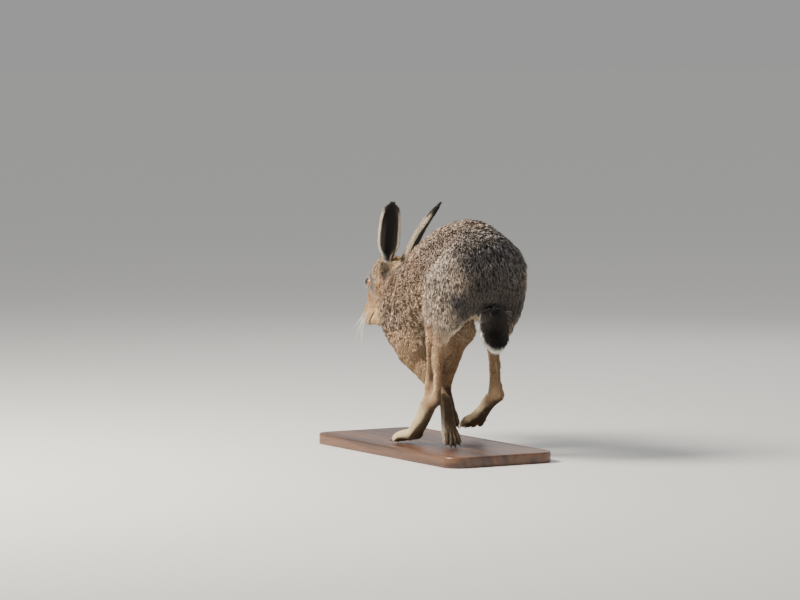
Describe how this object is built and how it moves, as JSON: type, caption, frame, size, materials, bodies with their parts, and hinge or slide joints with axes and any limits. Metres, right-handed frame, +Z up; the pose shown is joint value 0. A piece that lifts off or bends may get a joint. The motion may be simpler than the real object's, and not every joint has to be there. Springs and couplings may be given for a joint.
{
  "type": "brown hare",
  "caption": "Life-size running brown hare in a gathered stride with an arched back and raised ears, a still display model on a flat rounded base.",
  "frame": {"origin": "middle of the underside of the base", "axes": "+Z up; the hare faces -Y and +X is its left side"},
  "size_m": [0.196, 0.45, 0.4063],
  "materials": {
    "fur_back": "short dense fur, brown with dark flecks, matte",
    "fur_rump": "short dense fur, grey-black with pale tips, matte",
    "fur_leg": "short flat fur, tan to cream, matte",
    "fur_head": "very short flat fur, tan, matte",
    "fur_ear": "very short fur over thin skin, tan outside and dark inside",
    "fur_tail": "long soft fur, black above and white beneath",
    "eye": "polished, amber iris with a dark pupil",
    "base_wood": "dark, satin varnish"
  },
  "bodies": {
    "root": {"left_hind_thigh": "fur_rump", "right_hind_thigh": "fur_rump", "rump": "fur_rump", "left_fore_upper": "fur_back", "right_fore_upper": "fur_back", "loin": "fur_back", "chest": "fur_back", "neck": "fur_back", "tail": "fur_tail", "head": "fur_head", "left_eye": "eye", "right_eye": "eye", "left_ear": "fur_ear", "right_ear": "fur_ear", "left_hind_shank": "fur_leg", "left_hind_foot": "fur_leg", "right_hind_shank": "fur_leg", "right_hind_foot": "fur_leg", "left_fore_forearm": "fur_leg", "left_fore_paw": "fur_leg", "right_fore_forearm": "fur_leg", "right_fore_paw": "fur_leg", "stand_base": "base_wood"}
  },
  "joints": []
}
